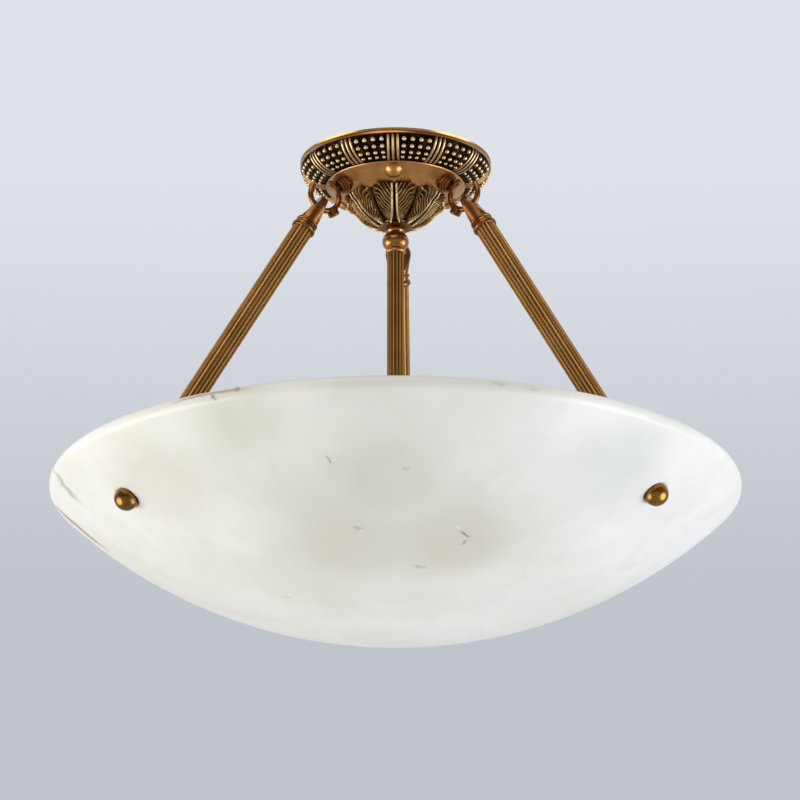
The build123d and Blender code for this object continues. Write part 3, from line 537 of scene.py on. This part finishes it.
def flange_bead(azimuth, share, radius):
    """One bead: a ball let half way into the face."""
    place, square = flange_face(share)
    out = np.array([cos(azimuth), sin(azimuth), 0])
    up = np.array([0, 0, 1])
    side = np.array([-sin(azimuth), cos(azimuth), 0])
    axis = out * square[0] + up * square[1]
    along = np.cross(axis, side)
    lean = np.radians(np.linspace(bead_top_lean, bead_foot_lean, bead_steps))[:, None]
    angles = np.linspace(0, 2 * pi, bead_sides, endpoint=False)[None, :]
    cap = [np.cos(lean) + 0 * angles, np.sin(lean) * np.cos(angles), np.sin(lean) * np.sin(angles)]
    points = radius * sum(part[..., None] * direction for part, direction in zip(cap, (axis, side, along)))
    rub = bead_edge_rub + (bead_crest_rub - bead_edge_rub) * np.cos(lean) + 0 * angles
    return points + out * place[0] + up * place[1], rub


print("a bead has", bead_sides * bead_steps, "points")

# %% [markdown]
# The whole flange
# The foundry pours ring, ribs and beads as one piece, so they become one mesh here too. Joining them with
# booleans would be slow and leave slivers, and the ribs and beads are sunk into the face anyway, so their
# open backs never show.

# %% Flange
rib_groups, rib_spacing = 12, 3.5
group_turn = 2 * pi / rib_groups
# Each row of beads: how far down the face it lies and the radius of its beads.
bead_rows = [(0.15, 1.80), (0.37, 1.75), (0.59, 1.65), (0.80, 1.45)]
bead_columns, bead_turn = 4, radians(5.4)
flange_crease = 35


def flange_ribs():
    """All the ribs, group by group."""
    for group in range(rib_groups):
        for offset in (-rib_spacing, 0.0, rib_spacing):
            yield flange_rib(group * group_turn, offset)


def flange_beads():
    """All the beads, panel by panel."""
    turns = (np.arange(bead_columns) - (bead_columns - 1) / 2) * bead_turn
    for panel in range(rib_groups):
        for share, radius in bead_rows:
            for turn in turns:
                yield flange_bead((panel + 0.5) * group_turn + turn, share, radius)


def canopy_flange_piece():
    """The ring, the ribs and the beads as one casting with a bright lip."""
    points, rub = [ring_points.reshape(-1, 3)], [ring_rub.ravel()]
    faces = grid_faces(*ring_points.shape[:2], rows_close=True, columns_close=True)
    count = len(points[0])
    for rib, rib_rub in flange_ribs():
        faces += grid_faces(rib_rows, rib_columns, count)
        points.append(rib.reshape(-1, 3))
        rub.append(rib_rub.ravel())
        count += len(points[-1])
    for bead, bead_rub in flange_beads():
        faces += grid_faces(bead_steps, bead_sides, count, columns_close=True)
        faces.append(list(range(count + bead_sides - 1, count - 1, -1)))
        points.append(bead.reshape(-1, 3))
        rub.append(bead_rub.ravel())
        count += len(points[-1])
    piece = make_piece("canopy_flange_casting", np.concatenate(points), faces, antique_brass,
                       "canopy_and_stem", "canopy_flange", np.concatenate(rub), flange_crease)
    piece.data.materials.append(spun_brass)
    for face in range((lip_rows + 1) * ring_columns):
        piece.data.polygons[face].material_index = 1


canopy_flange_piece()

# %% [markdown]
# The leaves of the acanthus cup
# Under the canopy a small cast cup is wrapped in six acanthus leaves, with six more behind them. A leaf
# has a double midrib, which is faint on the leaves behind, veins that climb outwards from it, a lobed edge
# and a tip that turns out under the canopy. A sculptor would carve one leaf and repeat it. Here it is a
# height over the cup's surface, a formula of two numbers: how far up the leaf a point lies, and how far
# aside of its midrib.

# %% Acanthus leaf
# Widths, rises and ways aside are in millimetres, and shares run from 0 to 1.
leaf_foot_half_width, leaf_spread, spread_power = 3.8, 13.4, 0.75
veins_per_leaf, vein_climb, climb_power = 7, 0.85, 0.85
vein_sway, sway_length = 0.40, 11.0
vein_inner, vein_outer = 1.9, 3.2
lobe_depth, edge_width = 0.18, 0.12
midrib_aside, midrib_foot_aside, foot_power, midrib_width = 1.6, 1.5, 5, 0.75
groove_width, groove_start, groove_full = 0.65, 0.1, 0.3
tip_start, tip_least, tip_edge_width = 0.78, 0.55, 0.4
blade_rise, vein_rise, midrib_rise, groove_depth = 1.3, 0.85, 1.0, 0.8
blade_rub, vein_rub, midrib_rub = 0.06, 0.64, 0.86
cup_ground_rub = 0.02


def smooth_step(value, low, high):
    """0 up to low, 1 from high on, and an easy slope between."""
    share = np.clip((value - low) / (high - low), 0, 1)
    return share * share * (3 - 2 * share)


def ridge(value, width):
    """1 along a line, falling to 0 on both sides of it."""
    return np.exp(-(value / width) ** 2)


def leaf_relief(up, aside, midrib_share):
    """Height over the cup, outward turn and rub, from the share up a leaf and the millimetres aside."""
    off = np.abs(aside)
    share = off / (leaf_foot_half_width + leaf_spread * up ** spread_power)
    sway = vein_sway * share * np.sin(2 * pi * (off / sway_length + up))
    climb = veins_per_leaf * (up - vein_climb * share ** climb_power) + sway
    wave = 0.5 + 0.5 * np.cos(2 * pi * climb)
    blade = smooth_step(1 - lobe_depth * (1 - wave) - share, 0.0, edge_width)
    veins = blade * wave ** 2 * smooth_step(off, vein_inner, vein_outer)
    midrib_line = midrib_aside + midrib_foot_aside * (1 - up) ** foot_power
    midrib = midrib_share * ridge(off - midrib_line, midrib_width)
    groove = midrib_share * ridge(aside, groove_width) * smooth_step(up, groove_start, groove_full)
    tip_share = tip_least + (1 - tip_least) * veins
    tip = smooth_step(up, tip_start, 1.0) * tip_share * smooth_step(1 - share, 0.0, tip_edge_width)
    height = blade_rise * blade + vein_rise * veins + midrib_rise * midrib - groove_depth * groove
    rub = cup_ground_rub + blade_rub * blade + vein_rub * veins + midrib_rub * midrib - groove
    return height, tip, np.clip(rub, 0, 1)


print("a leaf has", veins_per_leaf, "veins on each side")

# %% [markdown]
# The acanthus cup
# The cup hides the nut that holds the stem, and ends in a small lip over the ball. Its leaves could be
# separate pieces bent round a core, but the casting is one skin, so one grid is pushed out by whichever
# leaf stands higher. A lip and a plain inside close it.

# %% Acanthus cup
leaf_count = 6
back_leaf_drop, back_midrib_share, back_tip_share, back_rub_share = 1.0, 0.25, 0.6, 0.75
tip_turn_out, top_band = 4.6, 0.1
cup_top, cup_foot, cup_bulge = (33.2, -30.2), (12.2, -49.0), 3.2
cup_lip_radius, cup_lip_foot, cup_lip_round = 12.6, -51.0, 0.8
cup_bore, cup_floor, inside_foot_radius, inside_top_radius = 4.3, -46.6, 9.8, 30.8
cup_columns, cup_rows, cup_lip_rows, inside_rows = 540, 84, 7, 12
cup_lip_rub, cup_inside_rub, cup_crease = 0.6, 0.2, 60


def carved_skin():
    """Points of the leaves and how far each is rubbed."""
    core = arc(cup_top, cup_foot, cup_bulge, cup_rows)
    ahead = np.gradient(core, axis=0)
    ahead /= np.linalg.norm(ahead, axis=1)[:, None]
    square = np.stack([-ahead[:, 1], ahead[:, 0]], axis=-1)
    azimuth = np.linspace(0, 2 * pi, cup_columns, endpoint=False)[None, :]
    leaf_turn = 2 * pi / leaf_count
    up = np.linspace(1, 0, cup_rows)[:, None]
    layers = []
    for first, midrib_share in ((pi / 2, 1.0), (pi / 2 + leaf_turn / 2, back_midrib_share)):
        from_midrib = (azimuth - first + leaf_turn / 2) % leaf_turn - leaf_turn / 2
        layers.append(leaf_relief(up, from_midrib * core[:, 0, None], midrib_share))
    front, back = layers
    in_front = front[0] > back[0] - back_leaf_drop
    height = np.where(in_front, front[0], back[0] - back_leaf_drop)
    tip = np.where(in_front, front[1], back_tip_share * back[1])
    rub = np.where(in_front, front[2], back_rub_share * back[2])
    radius = core[:, 0, None] + square[:, 0, None] * height + tip_turn_out * tip
    level = core[:, 1, None] + square[:, 1, None] * height * smooth_step(1 - up, 0.0, top_band)
    return np.stack([radius * np.cos(azimuth), radius * np.sin(azimuth), level], axis=-1), rub


def acanthus_cup_piece():
    """The carved skin, a lip and a plain inside as one casting."""
    carved, carved_rub = carved_skin()
    lip = arc((cup_lip_radius, cup_foot[1]), (cup_lip_radius, cup_lip_foot), -cup_lip_round, cup_lip_rows)
    bore = [(cup_bore, cup_lip_foot), (cup_bore, cup_floor)]
    hollow = arc((inside_foot_radius, cup_floor), (inside_top_radius, cup_top[1]), -cup_bulge, inside_rows)
    outline = np.concatenate([lip, bore, hollow])
    rub = np.full(len(outline), cup_inside_rub)
    rub[:cup_lip_rows] = cup_lip_rub
    points = np.concatenate([carved, turned_grid(outline, cup_columns)])
    faces = grid_faces(len(points), cup_columns, rows_close=True, columns_close=True)
    rub = np.concatenate([carved_rub, np.repeat(rub[:, None], cup_columns, axis=1)])
    make_piece("acanthus_cup_casting", points, faces, antique_brass, "canopy_and_stem",
               "acanthus_cup", rub, cup_crease)


acanthus_cup_piece()

# %% [markdown]
# Fluted tubes
# The arms and the stem are drawn brass tubes with round bottomed flutes. The dark bath stays in the
# flutes, and the lands between them are rubbed bright. Cutting the flutes out of a tube with booleans
# would give the same shape with worse faces. Here one section is worked out from the tool's radius and the
# depth of cut, and drawn out along the tube's axis in short lengths, which keeps the faces well shaped.

# %% Fluted tubes
flute_tool, flute_depth, flute_points = 1.25, 0.8, 9
flute_rub, land_rub = 0.05, 0.85
tube_rows, tube_crease = 24, 50


def fluted_section(radius, flutes):
    """Angles and radii round a fluted tube, with points where the flutes need them."""
    centre = radius + flute_tool - flute_depth
    edge = np.arccos((centre ** 2 + radius ** 2 - flute_tool ** 2) / (2 * centre * radius))
    groove = np.linspace(-edge, edge, flute_points)
    reach = np.sqrt(np.maximum(flute_tool ** 2 - (centre * np.sin(groove)) ** 2, 0))
    cut = centre * np.cos(groove) - reach
    pitch = 2 * pi / flutes
    angles = np.concatenate([groove, [pitch / 2]])
    radii = np.concatenate([cut, [radius]])
    turns = np.arange(flutes)[:, None] * pitch
    return (turns + angles).ravel(), np.tile(radii, flutes)


def fluted_piece(name, node, body, origin, axis, radius, bore, flutes):
    """A fluted tube in place of a solid, as long as the solid is along the axis."""
    axis = Vector(axis).normalized()
    sideways = Vector((-axis.y, axis.x, 0.0)) if axis.xy.length else Vector((1.0, 0.0, 0.0))
    sideways.normalize()
    tube_axes = np.array([sideways.cross(axis), sideways, axis])
    origin = np.array(origin) / mm
    corners = np.array([vertex.co[:] for vertex in nodes[node].data.vertices]) / mm - origin
    stations = corners @ tube_axes[2]
    levels = np.linspace(stations.min(), stations.max(), tube_rows)
    angles, radii = fluted_section(radius, flutes)
    rows = [(radii, level) for level in levels] + [(0 * radii + bore, level) for level in levels[::-1]]
    local = [np.stack([r * np.cos(angles), r * np.sin(angles), 0 * r + level], axis=-1) for r, level in rows]
    crest = (radii - radii.min()) / (radius - radii.min())
    land = flute_rub + (land_rub - flute_rub) * np.sqrt(crest)
    rub = np.array([land] * tube_rows + [0 * land + inside_rub] * tube_rows)
    points = np.array(local) @ tube_axes + origin
    faces = grid_faces(2 * tube_rows, len(angles), rows_close=True, columns_close=True)
    make_piece(name, points, faces, fluted_brass, body, node, rub, tube_crease)


print("flutes are", flute_depth, "mm deep")

# %% [markdown]
# Arms and stem
# Three arms hang the bowl and one stem carries the lamps. An arm's place could be written down again, but
# its axis is the one that its finial unscrews round and its length is that of its solid. So both are read
# from the frame, and the arm fits between its ferrule and its foot.

# %% Arms and stem
arm_radius, arm_bore, arm_flutes = 7.8, 4.5, 16
stem_radius, stem_bore, stem_flutes = 6.3, 4.05, 14


def arm_line(side):
    """A point of an arm's axis and its direction, from the joint of the finial at its end."""
    joint = next(j for j in frame["joints"] if j["name"] == f"finial_{side}_unscrew")
    return joint["pos_m"], joint["axis"]


for side in ("back", "left", "right"):
    origin, axis = arm_line(side)
    fluted_piece(f"arm_fluted_{side}", f"arm_tube_{side}", "bowl_hanger", origin, axis,
                 arm_radius, arm_bore, arm_flutes)
fluted_piece("stem_fluted", "stem_tube", "canopy_and_stem", (0, 0, 0), (0, 0, -1),
             stem_radius, stem_bore, stem_flutes)

# %% [markdown]
# Camera
# The camera stands in front and below and looks up, a little from the right of the front screw. A short
# lens close by would bend the bowl, so it is the long lens that the photograph's flat perspective asks for.

# %% Camera
lens_length, sensor_width = 174.95, 36.0
camera_place = (0.0811, -2.6884, -1.0972)
camera_upward, camera_turn = 18.72, 1.658
camera_data = bpy.data.cameras.new("camera")
camera_data.lens = lens_length
camera_data.sensor_width = sensor_width
camera = bpy.data.objects.new("camera", camera_data)
camera.location = camera_place
camera.rotation_euler = (radians(90 + camera_upward), 0.0, radians(camera_turn))
bpy.context.scene.collection.objects.link(camera)
bpy.context.scene.camera = camera
print("camera at", camera_place)

# %% [markdown]
# Backdrop and floor
# The light hangs in front of a cool grey backdrop, lighter towards the top, over a pale paper floor far
# below. Both could be lit until they look so, but then they would light the stone too. Instead they show
# this colour only to the camera and in reflections. To all other light the floor is plain paper, and the
# world is a soft even fill. Behind the camera the room is dimmer, which gives the polished brass its brown
# depths.

# %% Floor
floor_level, floor_reach = -4.2, 40.0
paper_low, paper_high, paper_grain, paper_roughness = "#ECEDEF", "#F3F3F4", 300 * mm, 0.9
backdrop_low, floor_pale = "#C0C4CB", "#C6C9CF"


def background_rays(tree):
    """1 for the rays that see the background: straight from the camera, through glass or off metal."""
    rays = add(tree, "ShaderNodeLightPath").outputs
    straight = add(tree, "ShaderNodeMath", {0: rays["Is Camera Ray"], 1: rays["Is Transmission Ray"]},
                   operation="MAXIMUM")
    return add(tree, "ShaderNodeMath", {0: straight.outputs[0], 1: rays["Is Glossy Ray"]},
               operation="MAXIMUM").outputs[0]


def floor_finish():
    """Matt pale paper that is lit as it is, and looks as pale as the backdrop to the camera."""
    finish = fitting_finish("paper_matt_pale", paper_low, paper_high, paper_grain, paper_roughness, 0.0)
    tree = finish.node_tree
    paper = tree.nodes["Principled BSDF"].outputs["BSDF"]
    place = add(tree, "ShaderNodeTexCoord").outputs["Object"]
    waver = add(tree, "ShaderNodeTexNoise", {"Vector": place, "Scale": 1 / paper_grain})
    tone = add(tree, "ShaderNodeMixRGB",
               {"Fac": waver.outputs["Fac"], "Color1": linear(backdrop_low), "Color2": linear(floor_pale)})
    shown = add(tree, "ShaderNodeEmission", {"Color": tone.outputs[0], "Strength": 1.0})
    mixed = add(tree, "ShaderNodeMixShader", {"Fac": background_rays(tree), 1: paper, 2: shown.outputs[0]})
    tree.links.new(mixed.outputs[0], tree.nodes["Material Output"].inputs["Surface"])
    return finish


def studio_floor():
    """A wide floor far below the light."""
    mesh = bpy.data.meshes.new("floor")
    corners = [(-1, -1), (1, -1), (1, 1), (-1, 1)]
    points = [(x * floor_reach, y * floor_reach, floor_level) for x, y in corners]
    mesh.from_pydata(points, [], [(0, 1, 2, 3)])
    floor = bpy.data.objects.new("floor", mesh)
    bpy.context.scene.collection.objects.link(floor)
    mesh.materials.append(floor_finish())


studio_floor()
print("floor at", floor_level, "m")

# %% World
backdrop_high, room_dim = "#DFE3E9", "#7C7A77"
# Parts of the view direction: its height where the backdrop brightens, its way ahead where the room ends.
bright_from, bright_to = 0.26, 0.39
room_from, room_to = -0.6, 0.4
fill_colour, fill_strength = "#E8E8E6", 0.45


def studio_world():
    """The backdrop and the room where they are seen, and a soft fill for all other light."""
    world = bpy.data.worlds.new("studio")
    bpy.context.scene.world = world
    world.use_nodes = True
    tree = world.node_tree
    toward = add(tree, "ShaderNodeTexCoord").outputs["Generated"]
    part = add(tree, "ShaderNodeSeparateXYZ", {0: toward})
    share = add(tree, "ShaderNodeMapRange",
                {"Value": part.outputs["Z"], "From Min": bright_from, "From Max": bright_to},
                interpolation_type="SMOOTHSTEP")
    backdrop = add(tree, "ShaderNodeMixRGB", {"Fac": share.outputs[0], "Color1": linear(backdrop_low),
                                              "Color2": linear(backdrop_high)})
    ahead = add(tree, "ShaderNodeMapRange",
                {"Value": part.outputs["Y"], "From Min": room_from, "From Max": room_to},
                interpolation_type="SMOOTHSTEP")
    room = add(tree, "ShaderNodeMixRGB",
               {"Fac": ahead.outputs[0], "Color1": linear(room_dim), "Color2": backdrop.outputs[0]})
    seen = add(tree, "ShaderNodeBackground", {"Color": room.outputs[0], "Strength": 1.0})
    fill = add(tree, "ShaderNodeBackground", {"Color": linear(fill_colour), "Strength": fill_strength})
    mixed = add(tree, "ShaderNodeMixShader",
                {"Fac": background_rays(tree), 1: fill.outputs[0], 2: seen.outputs[0]})
    tree.links.new(mixed.outputs[0], tree.nodes["World Output"].inputs["Surface"])


studio_world()
print("world has a backdrop, a dimmer room and a soft fill")

# %% [markdown]
# Lamps
# A photographer would light pale stone with wide soft boxes, because a small lamp burns a white spot into
# it. One stands on each side, a little below the bowl, and a weaker one hangs high in front, so that the
# rounded rim is as bright as the face below it.

# %% Lamps
lamp_width, lamp_target = 2.0, (0.0, 0.0, -0.25)
# Each lamp: name, place, watts and colour.
lamps = [
    ("lamp_left", (-2.0, -0.4, -1.2), 41, "#FFFDF8"),
    ("lamp_right", (2.0, -0.4, -1.2), 44, "#F4F8FF"),
    ("lamp_high", (-0.4, -1.5, 1.6), 20, "#FFFFFF"),
]


def soft_lamp(name, place, watts, colour):
    """A wide round lamp that looks at the bowl."""
    data = bpy.data.lights.new(name, "AREA")
    data.shape = "DISK"
    data.size = lamp_width
    data.energy = watts
    data.color = linear(colour)[:3]
    lamp = bpy.data.objects.new(name, data)
    lamp.location = place
    lamp.rotation_euler = (Vector(lamp_target) - Vector(place)).to_track_quat("-Z", "Y").to_euler()
    bpy.context.scene.collection.objects.link(lamp)


for name, place, watts, colour in lamps:
    soft_lamp(name, place, watts, colour)
bpy.context.scene.view_settings.view_transform = "Standard"
print(len(lamps), "lamps")

# %% [markdown]
# The end
# A dressed piece should be as large as its solid, or it would not fit where the solid does.

# %% End
print("done")
